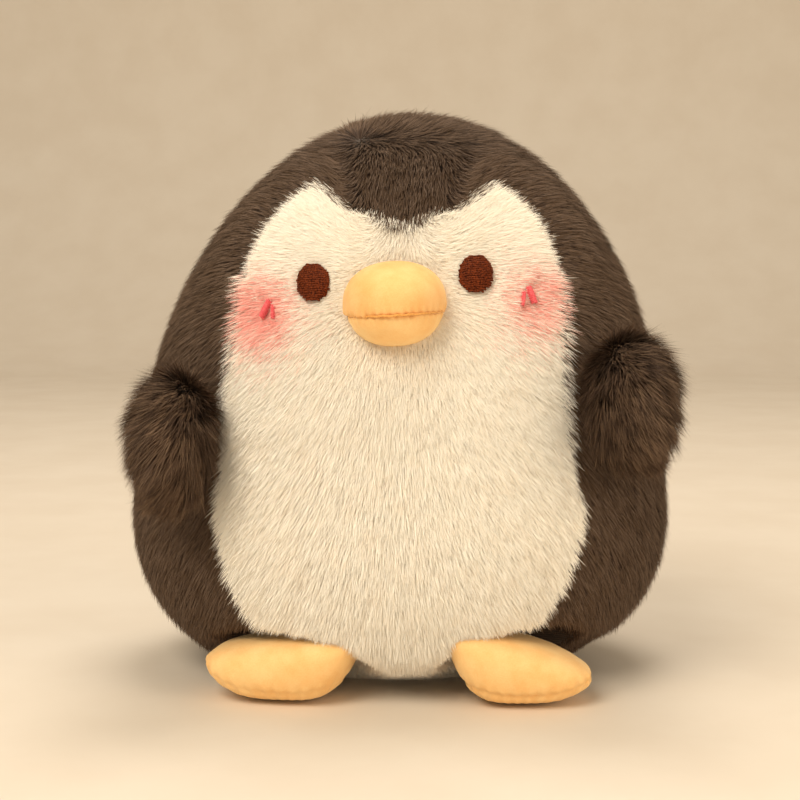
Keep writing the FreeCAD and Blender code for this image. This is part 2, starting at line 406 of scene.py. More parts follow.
def stuff(piece, sim):
    # the cloth swells with its filling: voxel remesh, cloth under pressure, capped, one subdivision
    remesh = piece.modifiers.new("remesh", "REMESH")
    remesh.mode, remesh.voxel_size, remesh.use_smooth_shade = "VOXEL", sim["voxel"] * mm, True
    settle(piece)
    start = coordinates(piece.data)
    cloth = piece.modifiers.new("cloth", "CLOTH")
    cloth.settings.use_pressure = True
    cloth.settings.uniform_pressure_force = sim["pressure"]
    cloth.settings.effector_weights.gravity = 0
    cloth.settings.quality = clothRun["quality"]
    cloth.settings.mass = clothRun["mass"]
    cloth.point_cache.frame_start, cloth.point_cache.frame_end = 1, clothRun["frames"]
    for number in range(1, clothRun["frames"] + 1):
        scene.frame_set(number)
    settle(piece)
    moved = coordinates(piece.data) - start
    far = np.linalg.norm(moved, axis=1)
    moved *= np.minimum(1, sim["cap"] * mm / np.maximum(far, 1e-9))[:, None]
    setCoordinates(piece.data, start + moved)
    scene.frame_set(1)
    finer = piece.modifiers.new("finer", "SUBSURF")
    finer.levels = finer.render_levels = sim["levels"]
    settle(piece)
    piece.data.polygons.foreach_set("use_smooth", [True] * len(piece.data.polygons))
    return piece


sides = ((1, "left"), (-1, "right"))


def finish(piece, body, material=None, replaces=()):
    if material:
        piece.data.materials.clear()
        piece.data.materials.append(material)
    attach(piece, body)
    if replaces:
        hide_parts(*replaces)
    return piece


# the feet's places, needed for the hollows they sit in

footShape = {
    "centre": {1: (45.0, -50.0, 12.6), -1: (-36.5, -50.0, 12.6)},
    "half": (27.5, 19.0, 14.0),
    "splay": 8.0,            # degrees, toes outward
    "inner": {1: 28.0, -1: 26.5}, "outer": {1: 13.5, -1: 19.5},    # height of each end's top edge
    "stretch": {1: 1.06, -1: 1.13},
    "bulge": {1: 2.5, -1: 0.0},
    "hollow": (31.0, 22.5, 18.0),    # half sizes of the hollow in the body
    "hollowRise": 2.0,
}


def footFrame(side):
    turn = Matrix.Rotation(math.radians(side * footShape["splay"]), 3, "Z")
    return Vector(footShape["centre"][side]), turn


def clearOfFeet(points):
    # pushes the body's cloth up and back out of the hollows for the feet
    moved = np.zeros(len(points))
    way = np.array((0.0, 0.85, 0.53))
    for side in (1, -1):
        centre, turn = footFrame(side)
        local = (points - np.array(centre) - (0, 0, footShape["hollowRise"])) @ np.array(turn)
        localWay = way @ np.array(turn)
        half = np.array(footShape["hollow"])
        p, d = local / half, localWay / half
        a, b, c = (d * d).sum(), 2 * (p * d).sum(1), (p * p).sum(1) - 1
        within = c < 0
        reach = (-b + np.sqrt(np.maximum(b * b - 4 * a * c, 0))) / (2 * a)
        points[within] += reach[within, None] * way
        moved[within] = np.maximum(moved[within], reach[within])
    return moved


# the body's cloth

clothGrid = {
    "columns": 232,
    "ringsAbove": 92,
    "ringsBelow": 36,
    "ringsBase": 9,
    "baseLift": 1.2,         # mm, the base cloth stands this far off the floor
    "thickness": 0.7,
    "fillingInset": 1.8,
    "fillingLift": 0.8,      # mm, the filling's base lies this far above the base cloth's
    "hiddenHollow": 24.0,    # mm, no pile where a foot's hollow is deeper than this
    "spreadLeft": 4.6, "spreadRight": 2.6,    # mm wider low down, on its own left and right
}

wingRoots = {1: (78.0, 103.5), -1: (-75.5, 98.0)}

face = {
    "eye": {1: (26.4, 149.1), -1: (-29.4, 149.1)}, "eyeHalf": (5.8, 6.3),
    "beak": (0.0, 140.5), "beakHalf": (14.8, 12.6),
    "cheek": (45.0, 139.2), "cheekReach": 16.5, "blush": {1: 0.75, -1: 1.0},
    "strokes": [((46.9, 138.2), (44.6, 143.3), 0.8), ((43.0, 141.6), (42.7, 137.6), 0.45)],
}


# share of the pile's length close up, and the distances in mm where it begins and ends to lengthen
trims = {
    "eye": (0.5, 0.0, 7.0), "stroke": (0.62, 0.0, 5.0), "wing": (0.45, 4.0, 14.0),
    "foot": (0.5, -2.0, 9.0), "beak": (0.45, 0.5, 9.0), "backSeam": (0.6, 1.5, 6.0),
}


def trimmed(kind, distance):
    share, near, far = trims[kind]
    return share + (1 - share) * smoothStep(distance, near, far)


def patchDistance(x, z, centre, half):
    # about the distance in mm outside an oval patch, negative within it
    reach = np.hypot((x - centre[0]) / half[0], (z - centre[1]) / half[1])
    return (reach - 1) * 0.5 * (half[0] + half[1])


def bodyCloth():
    grid, inset = clothGrid, bodyShape["clothInset"]
    wide, above = bodyShape["halfWidth"] - inset, bodyShape["above"] - inset
    below, middle = bodyShape["below"] - inset, bodyShape["widest"]
    rings = []
    for step in range(1, grid["ringsAbove"] + 1):
        angle = math.pi / 2 * step / grid["ringsAbove"]
        rings.append((middle + above * math.cos(angle), wide * math.sin(angle)))
    lastAngle = math.asin((middle - grid["baseLift"]) / below)
    for step in range(1, grid["ringsBelow"] + 1):
        angle = lastAngle * step / grid["ringsBelow"]
        rings.append((middle - below * math.sin(angle), wide * math.cos(angle)))
    sideRings = len(rings)
    for step in range(1, grid["ringsBase"]):
        rings.append((grid["baseLift"], rings[sideRings - 1][1] * (1 - step / grid["ringsBase"])))
    turn = np.linspace(0, 2 * math.pi, grid["columns"], endpoint=False)
    points = [(leanAt(middle + above), 0, middle + above)]
    for z, radius in rings:
        for angle in turn:
            points.append((radius * math.cos(angle) + leanAt(z),
                           bodyShape["depth"] * radius * math.sin(angle), z))
    points.append((leanAt(grid["baseLift"]), 0, grid["baseLift"]))
    points = np.array(points)
    onBase = np.zeros(len(points), bool)
    onBase[1 + sideRings * grid["columns"]:] = True
    faces, last = [], len(points) - 1
    for column in range(grid["columns"]):
        beside = (column + 1) % grid["columns"]
        faces.append((0, 1 + column, 1 + beside))
        for ring in range(len(rings) - 1):
            a, b = 1 + ring * grid["columns"], 1 + (ring + 1) * grid["columns"]
            faces.append((a + column, b + column, b + beside, a + beside))
        a = 1 + (len(rings) - 1) * grid["columns"]
        faces.append((a + column, last, a + beside))
    return points, faces, onBase


def bodyFields(points, onBase):
    # what the pile needs to know at each point of the cloth
    x, y, z = points.T
    across = x - leanAt(z)
    shifted = across - border["lowShift"] * (1 - smoothStep(z, 60, 115))
    outline = insideDistance(shifted, z, frontOutline())
    outline = np.where(y > 0, -np.maximum(abs(y), 1.0) - 5, outline)
    # the white pile leans out over the dark, except under the peak, where the dark hangs over it
    peak = (1 - smoothStep(abs(across), 7, 19)) * smoothStep(z, 150, 160)
    outline -= border["whiteOver"] * (1 - peak) - border["darkOver"] * peak
    outline[onBase] = 20.0
    wide, depth = bodyShape["halfWidth"], bodyShape["depth"]
    rise = np.where(z > bodyShape["widest"], bodyShape["above"], bodyShape["below"])
    normals = np.stack([across / wide ** 2, y / (depth * wide) ** 2,
                        (z - bodyShape["widest"]) / rise ** 2], 1)
    normals[onBase] = (0, 0, -1)
    normals /= np.linalg.norm(normals, axis=1)[:, None]
    # the way the pile is brushed: down, outwards over the white front, and up at the top of the face
    front = (y < 0) & ~onBase
    onFace = smoothStep(z, 118, 146) * front
    aside = abs(across)
    outward = np.where(front, (0.6 + 0.5 * onFace) * np.clip(across / 40, -1, 1), 0.0)
    upward = -1 + (0.85 + 0.75 * smoothStep(z, 146, 176)) * onFace * (0.35 + 0.65 * smoothStep(aside, 3, 16))
    # the hood: down and inwards over the peak, outwards beside it, and back over the crown
    hood = smoothStep(z, 148, 162) * front * (1 - smoothStep(outline, -1.0, 1.0))
    hood *= 1 - smoothStep(aside, 9, 22) * (1 - smoothStep(-outline, 6, 24))
    crown = smoothStep(z, 186, 208)
    overPeak = (1 - smoothStep(aside, 10, 55)) * (1 - crown)
    hoodOut = np.clip(across / 40, -1, 1) * (0.8 - 1.35 * overPeak) + 0.25 * crown
    outward = outward * (1 - hood) + hoodOut * hood
    upward = upward * (1 - hood) + (-1 + 1.7 * crown) * hood
    outward[~front], upward[~front] = 0.0, -1.0
    brushed = np.stack([outward, np.zeros_like(x), upward], 1)
    brushed[onBase] = np.stack([across, y / depth, 0 * x], 1)[onBase] + (1e-3, 0, 0)
    brushed -= normals * (brushed * normals).sum(1)[:, None]
    brushed /= np.maximum(np.linalg.norm(brushed, axis=1), 1e-6)[:, None]
    # bare patches under what is sewn on, and the shorter pile round them
    bare = np.full(len(points), 30.0)
    length = np.full(len(points), 1.0)
    length *= 1 - 0.22 * smoothStep(z, 100, 130) * front * (outline > 0)
    overLobes = (1 - smoothStep(-outline, 1, 8)) * (outline < 0) * smoothStep(aside, 5, 12)
    length *= 1 - 0.55 * overLobes * front * (z > 150)
    blush = np.zeros(len(points))
    for side in (1, -1):
        eye = patchDistance(x, z, sewnAt(*face["eye"][side]), face["eyeHalf"])
        eye = np.where(front, eye, 30)
        bare = np.minimum(bare, eye + 0.3)
        length *= trimmed("eye", eye)
        cheekX, cheekZ = sewnAt(side * face["cheek"][0], face["cheek"][1])
        near = np.hypot(x - cheekX, z - cheekZ) / face["cheekReach"]
        blush = np.maximum(blush, np.where(front, face["blush"][side] * np.exp(-1.6 * near ** 2.2), 0))
        for start, end, radius in face["strokes"]:
            a, b = np.array(sewnAt(side * start[0], start[1])), np.array(sewnAt(side * end[0], end[1]))
            t = np.clip(((x - a[0]) * (b - a)[0] + (z - a[1]) * (b - a)[1]) / ((b - a) ** 2).sum(), 0, 1)
            away = np.hypot(x - a[0] - t * (b - a)[0], z - a[1] - t * (b - a)[1]) - radius
            away = np.where(front, away, 30)
            bare = np.minimum(bare, away + 0.2)
            length *= trimmed("stroke", away)
        rootX, rootZ = sewnAt(*wingRoots[side])
        wing = patchDistance(x, z, (rootX, rootZ), (4, 8))
        wing = np.where(front, wing, 30)
        bare = np.minimum(bare, wing)
        length *= trimmed("wing", wing)
        foot = patchDistance(x, z, (footShape["centre"][side][0], 15.0), (26.0, 13.0))
        foot = np.where(front, foot, 30)
        length *= trimmed("foot", foot)
    beak = patchDistance(x, z, sewnAt(*face["beak"]), face["beakHalf"])
    beak = np.where(front, beak, 30)
    bare = np.minimum(bare, beak)
    length *= trimmed("beak", beak)
    backSeam = np.where((y > 0) & (z > 48) & (z < 88), abs(across), 30)
    length *= trimmed("backSeam", backSeam)
    length *= np.where(onBase, 0.32, 1.0)
    return {"outline": outline, "brushed": brushed, "bare": bare, "pileLength": length, "blush": blush}


def settleDown(points):
    # the filling spreads low down, and the belly rolls under between the feet
    across = points[:, 0] - leanAt(points[:, 2])
    spread = smoothStep(-points[:, 2], -85, -35) * np.clip((abs(across) - 58) / 28, 0, 1) \
        * smoothStep(points[:, 2], 0, 28)
    points[:, 0] += spread * np.where(across > 0, clothGrid["spreadLeft"], -clothGrid["spreadRight"])
    low = np.clip((26 - points[:, 2]) / 26, 0, 1) ** 2
    ahead = smoothStep(-points[:, 1], 12, 40)
    points[:, 1] += 21 * low * ahead
    points[:, 2] += 7 * low * ahead * (points[:, 2] > clothGrid["baseLift"] + 0.01)


points, faces, onBase = bodyCloth()
fields = bodyFields(points, onBase)
settleDown(points)
moved = clearOfFeet(points)
fields["bare"] = np.where(moved > clothGrid["hiddenHollow"], -5.0, fields["bare"])
fields["pileLength"] *= np.where(moved > 0, 0.55, 1.0)
faceOutline = np.array([fields["outline"][list(f)].mean() for f in faces])
faceMiddle = np.array([points[list(f)].mean(0) for f in faces])
faceBare = np.array([fields["bare"][list(f)].max() for f in faces])
print("body cloth drawn", len(faces), "faces")


def clothPart(name, chosen, withFields=False):
    # the chosen faces of the body's cloth as a piece of its own
    picked = [faces[i] for i in np.flatnonzero(chosen)]
    used = sorted({corner for f in picked for corner in f})
    place = {old: new for new, old in enumerate(used)}
    piece = newPiece(name, points[used] * mm, [[place[c] for c in f] for f in picked])
    if withFields:
        for key, values in fields.items():
            storeOnPoints(piece.data, key, values[used])
    return piece


def clothShell(name, chosen, material, replaces):
    piece = clothPart(name, chosen)
    wall = piece.modifiers.new("wall", "SOLIDIFY")
    wall.thickness, wall.offset = clothGrid["thickness"] * mm, -1
    settle(piece)
    closeUp(piece)
    return finish(piece, "body", material, replaces)


clothShell("frontCloth", faceOutline > 0, creamKnit,
           ("front_panel_left", "front_panel_right", "base_panel"))
clothShell("backCloth", faceOutline <= 0, darkKnit, ("back_panel_left", "back_panel_right"))


def bodyFilling():
    # the loose filling, drawn in a little from the settled cloth
    piece = newPiece("bodyFilling", points * mm, faces)
    spots = coordinates(piece.data) - vertexNormals(piece.data) * clothGrid["fillingInset"] * mm
    spots[:, 2] = np.maximum(spots[:, 2], (clothGrid["baseLift"] + clothGrid["fillingLift"]) * mm)
    setCoordinates(piece.data, spots)
    return finish(piece, "body", filling, ("body_stuffing",))


bodyFilling()
print("body cloth sewn")


# the pile

def bladeCollection():
    # bent, tapering fibres one unit long; the lower quad is the root and the top the tip
    holder = bpy.data.collections.new("fibres")
    for number, (bend, shift) in enumerate([(0.10, 0.0), (0.20, 0.12), (0.16, -0.14), (0.30, 0.05)]):
        corners = [(-0.5, 0, 0), (0.5, 0, 0), (-0.42 + shift, -bend * 0.3, 0.5),
                   (0.42 + shift, -bend * 0.3, 0.5), (shift * 2.4, -bend, 1.0)]
        mesh = bpy.data.meshes.new(f"fibre{number}")
        mesh.from_pydata(corners, [], [(0, 3, 1), (0, 2, 3), (2, 4, 3)])
        tip = mesh.attributes.new("bladeTip", "INT", "FACE")
        tip.data.foreach_set("value", [0, 0, 1])
        holder.objects.link(bpy.data.objects.new(f"fibre{number}", mesh))
    return holder


def pileTree(name, coat, airbrush):
    # scatters fibres over the cloth, leans them the brushed way in small tufts, and tones them
    tree = bpy.data.node_groups.new(name, "GeometryNodeTree")
    sockets = tree.interface
    sockets.new_socket(name="Geometry", in_out="INPUT", socket_type="NodeSocketGeometry")
    sockets.new_socket(name="Fibres", in_out="INPUT", socket_type="NodeSocketCollection")
    for label in ("Fibres per square metre", "Length", "Width", "Lean", "Stray", "Tuft size",
                  "Tuft pull", "Keep side", "Ragged edge", "Floor height", "Pale share", "Own shading"):
        sockets.new_socket(name=label, in_out="INPUT", socket_type="NodeSocketFloat")
    sockets.new_socket(name="Seed", in_out="INPUT", socket_type="NodeSocketInt")
    sockets.new_socket(name="Geometry", in_out="OUTPUT", socket_type="NodeSocketGeometry")
    given = addNode(tree, "NodeGroupInput").outputs
    floatAt = {"data_type": "FLOAT"}
    outline = addNode(tree, "GeometryNodeInputNamedAttribute", floatAt, {"Name": "outline"})
    bare = addNode(tree, "GeometryNodeInputNamedAttribute", floatAt, {"Name": "bare"})
    share = addNode(tree, "GeometryNodeInputNamedAttribute", floatAt, {"Name": "pileLength"})
    blush = addNode(tree, "GeometryNodeInputNamedAttribute", floatAt, {"Name": "blush"})
    brushed = addNode(tree, "GeometryNodeInputNamedAttribute", {"data_type": "FLOAT_VECTOR"},
                      {"Name": "brushed"})
    scatter = addNode(tree, "GeometryNodeDistributePointsOnFaces", {"distribute_method": "RANDOM"}, {
        "Mesh": given["Geometry"], "Density": given["Fibres per square metre"], "Seed": given["Seed"]})
    # only this side of the outline, with a ragged edge, and nothing on the bare patches
    rag = addNode(tree, "FunctionNodeRandomValue", floatAt, {"Min": -0.5, "Max": 1.0, "Seed": 11})
    ragged = addNode(tree, "ShaderNodeMath", {"operation": "MULTIPLY"}, {
        0: rag.outputs["Value"], 1: given["Ragged edge"]})
    sided = addNode(tree, "ShaderNodeMath", {"operation": "MULTIPLY_ADD"}, {
        0: outline.outputs["Attribute"], 1: given["Keep side"], 2: ragged.outputs[0]})
    worst = addNode(tree, "ShaderNodeMath", {"operation": "MINIMUM"}, {
        0: sided.outputs[0], 1: bare.outputs["Attribute"]})
    away = addNode(tree, "FunctionNodeCompare", {"data_type": "FLOAT", "operation": "LESS_THAN"}, {
        "A": worst.outputs[0], "B": 0.0})
    kept = addNode(tree, "GeometryNodeDeleteGeometry", {"domain": "POINT"}, {
        "Geometry": scatter.outputs["Points"], "Selection": away.outputs["Result"]})
    # direction: off the cloth, along the brushing, gathered in tufts, and a little astray
    place = addNode(tree, "GeometryNodeInputPosition")
    tuftScale = addNode(tree, "ShaderNodeMath", {"operation": "DIVIDE"}, {0: 1.0, 1: given["Tuft size"]})
    tufts = addNode(tree, "ShaderNodeTexNoise", None, {
        "Vector": place.outputs["Position"], "Scale": tuftScale.outputs[0], "Detail": 2.0})
    tuftWay = addNode(tree, "ShaderNodeVectorMath", {"operation": "SUBTRACT"}, {
        0: tufts.outputs["Color"], 1: (0.5, 0.5, 0.5)})
    pulled = addNode(tree, "ShaderNodeVectorMath", {"operation": "SCALE"}, {
        0: tuftWay.outputs[0], "Scale": given["Tuft pull"]})
    chance = addNode(tree, "FunctionNodeRandomValue", {"data_type": "FLOAT_VECTOR"}, {
        "Min": (-1, -1, -1), "Max": (1, 1, 1), "Seed": 23})
    astray = addNode(tree, "ShaderNodeVectorMath", {"operation": "SCALE"}, {
        0: chance.outputs["Value"], "Scale": given["Stray"]})
    leaning = addNode(tree, "ShaderNodeVectorMath", {"operation": "SCALE"}, {
        0: brushed.outputs["Attribute"], "Scale": given["Lean"]})
    way = scatter.outputs["Normal"]
    for part in (leaning, pulled, astray):
        way = addNode(tree, "ShaderNodeVectorMath", {"operation": "ADD"}, {
            0: way, 1: part.outputs[0]}).outputs[0]
    along = addNode(tree, "FunctionNodeAlignRotationToVector", {"axis": "Z"}, {"Vector": way})
    facing = addNode(tree, "FunctionNodeAlignRotationToVector", {"axis": "Y", "pivot_axis": "Z"}, {
        "Rotation": along.outputs["Rotation"], "Vector": scatter.outputs["Normal"]})
    roll = addNode(tree, "FunctionNodeRandomValue", floatAt, {"Min": -0.35, "Max": 0.35, "Seed": 31})
    rolled = addNode(tree, "FunctionNodeAxisAngleToRotation", None, {
        "Axis": (0, 0, 1), "Angle": roll.outputs["Value"]})
    turned = addNode(tree, "FunctionNodeRotateRotation", {"rotation_space": "LOCAL"}, {
        "Rotation": facing.outputs["Rotation"], "Rotate By": rolled.outputs["Rotation"]})
    # size: the cloth's own length here, a fibre's own chance, and the tuft's
    own = addNode(tree, "FunctionNodeRandomValue", floatAt, {"Min": 0.72, "Max": 1.08, "Seed": 41})
    tuftShare = addNode(tree, "ShaderNodeMapRange", None, {
        "Value": tufts.outputs["Fac"], "From Min": 0.3, "From Max": 0.7, "To Min": 0.85, "To Max": 1.12})
    long = addNode(tree, "ShaderNodeMath", {"operation": "MULTIPLY"}, {
        0: given["Length"], 1: share.outputs["Attribute"]})
    for factor in (own.outputs["Value"], tuftShare.outputs["Result"]):
        long = addNode(tree, "ShaderNodeMath", {"operation": "MULTIPLY"}, {0: long.outputs[0], 1: factor})
    size = addNode(tree, "ShaderNodeCombineXYZ", None, {
        "X": given["Width"], "Y": long.outputs[0], "Z": long.outputs[0]})
    kind = addNode(tree, "FunctionNodeRandomValue", {"data_type": "INT"}, {
        "Min": 0, "Max": 3, "Seed": 51})
    # tone: cloudy patches of darker and paler fibres, and pink ones where it is airbrushed
    clouds = addNode(tree, "ShaderNodeTexNoise", None, {
        "Vector": place.outputs["Position"], "Scale": 1 / (7 * mm), "Detail": 3.0})
    dice = addNode(tree, "FunctionNodeRandomValue", floatAt, {"Min": -0.5, "Max": 0.5, "Seed": 61})
    mixed = addNode(tree, "ShaderNodeMath", {"operation": "MULTIPLY_ADD"}, {
        0: dice.outputs["Value"], 1: 0.7, 2: clouds.outputs["Fac"]})
    paler = addNode(tree, "ShaderNodeMath", {"operation": "ADD"}, {
        0: mixed.outputs[0], 1: given["Pale share"]})
    count = len(coat) // 2
    level = addNode(tree, "ShaderNodeMapRange", None, {
        "Value": paler.outputs[0], "From Min": 0.2, "From Max": 0.8, "To Min": 0.0, "To Max": count - 0.01})
    tone = addNode(tree, "ShaderNodeMath", {"operation": "FLOOR"}, {0: level.outputs["Result"]}).outputs[0]
    if airbrush:
        for number, (least, seed) in enumerate(((0.0, 71), (0.28, 73))):
            pick = addNode(tree, "FunctionNodeRandomValue", floatAt, {
                "Min": least, "Max": 1.0 + 0.15 * number, "Seed": seed})
            pink = addNode(tree, "FunctionNodeCompare", {"data_type": "FLOAT", "operation": "LESS_THAN"}, {
                "A": pick.outputs["Value"], "B": blush.outputs["Attribute"]})
            tone = addNode(tree, "GeometryNodeSwitch", {"input_type": "FLOAT"}, {
                "Switch": pink.outputs["Result"], "False": tone, "True": float(count + number)}).outputs[0]
    marked = addNode(tree, "GeometryNodeStoreNamedAttribute", {"data_type": "INT", "domain": "POINT"}, {
        "Geometry": kept.outputs["Geometry"], "Name": "tone", "Value": tone})
    # each fibre is lit as part of the coat: its normals lie between its own and the cloth's
    coatWay = addNode(tree, "ShaderNodeVectorMath", {"operation": "SCALE"}, {
        0: brushed.outputs["Attribute"], "Scale": -0.15})
    coatNormal = addNode(tree, "ShaderNodeVectorMath", {"operation": "ADD"}, {
        0: scatter.outputs["Normal"], 1: coatWay.outputs[0]})
    vectorAt = {"data_type": "FLOAT_VECTOR", "domain": "POINT"}
    marked = addNode(tree, "GeometryNodeStoreNamedAttribute", vectorAt, {
        "Geometry": marked.outputs["Geometry"], "Name": "coatNormal", "Value": coatNormal.outputs[0]})
    fibres = addNode(tree, "GeometryNodeCollectionInfo", None, {
        "Collection": given["Fibres"], "Separate Children": True, "Reset Children": True})
    planted = addNode(tree, "GeometryNodeInstanceOnPoints", None, {
        "Points": marked.outputs["Geometry"], "Instance": fibres.outputs["Instances"],
        "Pick Instance": True, "Instance Index": kind.outputs["Value"],
        "Rotation": turned.outputs["Rotation"], "Scale": size.outputs["Vector"]})
    real = addNode(tree, "GeometryNodeRealizeInstances", None, {"Geometry": planted.outputs["Instances"]})
    # nothing grows through the floor
    parts = addNode(tree, "ShaderNodeSeparateXYZ", None, {"Vector": place.outputs["Position"]})
    height = addNode(tree, "ShaderNodeMath", {"operation": "MAXIMUM"}, {
        0: parts.outputs["Z"], 1: given["Floor height"]})
    lifted = addNode(tree, "ShaderNodeCombineXYZ", None, {
        "X": parts.outputs["X"], "Y": parts.outputs["Y"], "Z": height.outputs[0]})
    geometry = addNode(tree, "GeometryNodeSetPosition", None, {
        "Geometry": real.outputs["Geometry"], "Position": lifted.outputs["Vector"]}).outputs["Geometry"]
    coatAt = addNode(tree, "GeometryNodeInputNamedAttribute", {"data_type": "FLOAT_VECTOR"},
                     {"Name": "coatNormal"})
    ownNormal = addNode(tree, "ShaderNodeVectorMath", {"operation": "SCALE"}, {
        0: addNode(tree, "GeometryNodeInputNormal").outputs["Normal"], "Scale": given["Own shading"]})
    lit = addNode(tree, "ShaderNodeVectorMath", {"operation": "ADD"}, {
        0: coatAt.outputs["Attribute"], 1: ownNormal.outputs[0]})
    even = addNode(tree, "ShaderNodeVectorMath", {"operation": "NORMALIZE"}, {0: lit.outputs[0]})
    geometry = addNode(tree, "GeometryNodeSetMeshNormal", {"mode": "FREE", "domain": "POINT"}, {
        "Mesh": geometry, "Custom Normal": even.outputs[0]}).outputs["Mesh"]
    intAt = {"data_type": "INT"}
    toneAt = addNode(tree, "GeometryNodeInputNamedAttribute", intAt, {"Name": "tone"})
    tipAt = addNode(tree, "GeometryNodeInputNamedAttribute", intAt, {"Name": "bladeTip"})
    order = addNode(tree, "ShaderNodeMath", {"operation": "MULTIPLY_ADD"}, {
        0: toneAt.outputs["Attribute"], 1: 2.0, 2: tipAt.outputs["Attribute"]})
    for number, material in enumerate(coat + airbrush):
        chosen = addNode(tree, "FunctionNodeCompare", {"data_type": "FLOAT", "operation": "EQUAL"}, {
            "A": order.outputs[0], "B": float(number), "Epsilon": 0.1})
        geometry = addNode(tree, "GeometryNodeSetMaterial", None, {
            "Geometry": geometry, "Selection": chosen.outputs["Result"],
            "Material": material}).outputs["Geometry"]
    addNode(tree, "NodeGroupOutput", None, {"Geometry": geometry})
    return tree


def growPile(piece, tree, body, pile):
    # grows the pile on a piece of cloth and keeps only the fibres
    modifier = piece.modifiers.new("pile", "NODES")
    modifier.node_group = tree
    for socket in tree.interface.items_tree:
        if socket.in_out == "INPUT" and socket.name in pile:
            modifier[socket.identifier] = pile[socket.name]
    settle(piece)
    used = {"tone", "bladeTip", "coatNormal"}
    for attribute in [a.name for a in piece.data.attributes if a.name in used]:
        piece.data.attributes.remove(piece.data.attributes[attribute])
    print(piece.name, len(piece.data.polygons), "faces")
    return finish(piece, body)


fibres = bladeCollection()
creamTree = pileTree("creamPile", creamFibres, blushFibres)
darkTree = pileTree("darkPile", darkFibres, [])
wingTree = pileTree("wingPile", wingFibres, [])

creamPile = {
    "Fibres": fibres, "Fibres per square metre": 7.8e6, "Length": 8.0 * mm, "Width": 0.28 * mm,
    "Lean": 1.4, "Stray": 0.22, "Tuft size": 4 * mm, "Tuft pull": 0.45, "Keep side": 1.0,
    "Ragged edge": 1.2, "Floor height": 0.2 * mm, "Pale share": 0.15, "Own shading": 0.08, "Seed": 3,
}
facePile = dict(creamPile, **{
    "Fibres per square metre": 1.15e7, "Length": 7.8 * mm, "Width": 0.21 * mm, "Stray": 0.26,
    "Ragged edge": 3.4,
})
darkPile = dict(creamPile, **{
    "Fibres per square metre": 3.0e6, "Length": 8.8 * mm, "Width": 0.34 * mm, "Lean": 1.8,
    "Keep side": -1.0, "Ragged edge": 0.8, "Pale share": 0.0, "Seed": 5, "Tuft pull": 0.8,
    "Own shading": 0.4,
})

middleX = faceMiddle[:, 0] - leanAt(faceMiddle[:, 2])
high, behind = faceMiddle[:, 2], faceMiddle[:, 1] > -8
baseFace = (faceOutline > 15) & (faceMiddle[:, 2] < clothGrid["baseLift"] + 0.05)
white = (faceOutline > -4) & (faceBare > 0) & ~baseFace
dark = (faceOutline < 4) & (faceBare > 0)
for name, chosen in (
        ("facePileLeft", white & (high >= 95) & (middleX >= 0)),
        ("facePileRight", white & (high >= 95) & (middleX < 0)),
        ("bellyPileLeft", white & (high < 95) & (middleX >= 0)),
        ("bellyPileRight", white & (high < 95) & (middleX < 0))):
    growPile(clothPart(name, chosen, True), creamTree, "body",
             facePile if name.startswith("face") else creamPile)
growPile(clothPart("basePile", baseFace, True), creamTree, "body",
         dict(creamPile, **{"Fibres per square metre": 0.7e6, "Lean": 2.5, "Width": 0.6 * mm}))
for name, chosen in (
        ("hoodPileLeft", (high > 132) & (middleX >= 0)), ("hoodPileRight", (high > 132) & (middleX < 0)),
        ("flankPileLeft", (high <= 132) & ~behind & (middleX >= 0)),
        ("flankPileRight", (high <= 132) & ~behind & (middleX < 0)),
        ("backPileLeft", (high <= 132) & behind & (middleX >= 0)),
        ("backPileRight", (high <= 132) & behind & (middleX < 0))):
    growPile(clothPart(name, dark & chosen, True), darkTree, "body", darkPile)
print("body pile grown")


# wings

wingShape = {
    "turnOut": {1: 8.0, -1: -5.0},   # degrees, away from the body
    "half": (15.5, 22.0, 23.5), "reach": 16.0, "swing": 45.0, "gap": 0.8, "rootGap": 2.0,
    "clothInset": 3.5, "rings": 40, "columns": 64,
    "brushing": (0.7, -0.45, -1.0),  # the pile hangs down, outwards and a little forward
}
wingPile = dict(darkPile, **{
    "Fibres per square metre": 6.6e6, "Length": 13.0 * mm, "Width": 0.28 * mm, "Lean": 1.35,
    "Stray": 0.3, "Tuft size": 5 * mm, "Tuft pull": 2.2, "Keep side": 1.0, "Pale share": 0.05,
    "Own shading": 0.8,
})


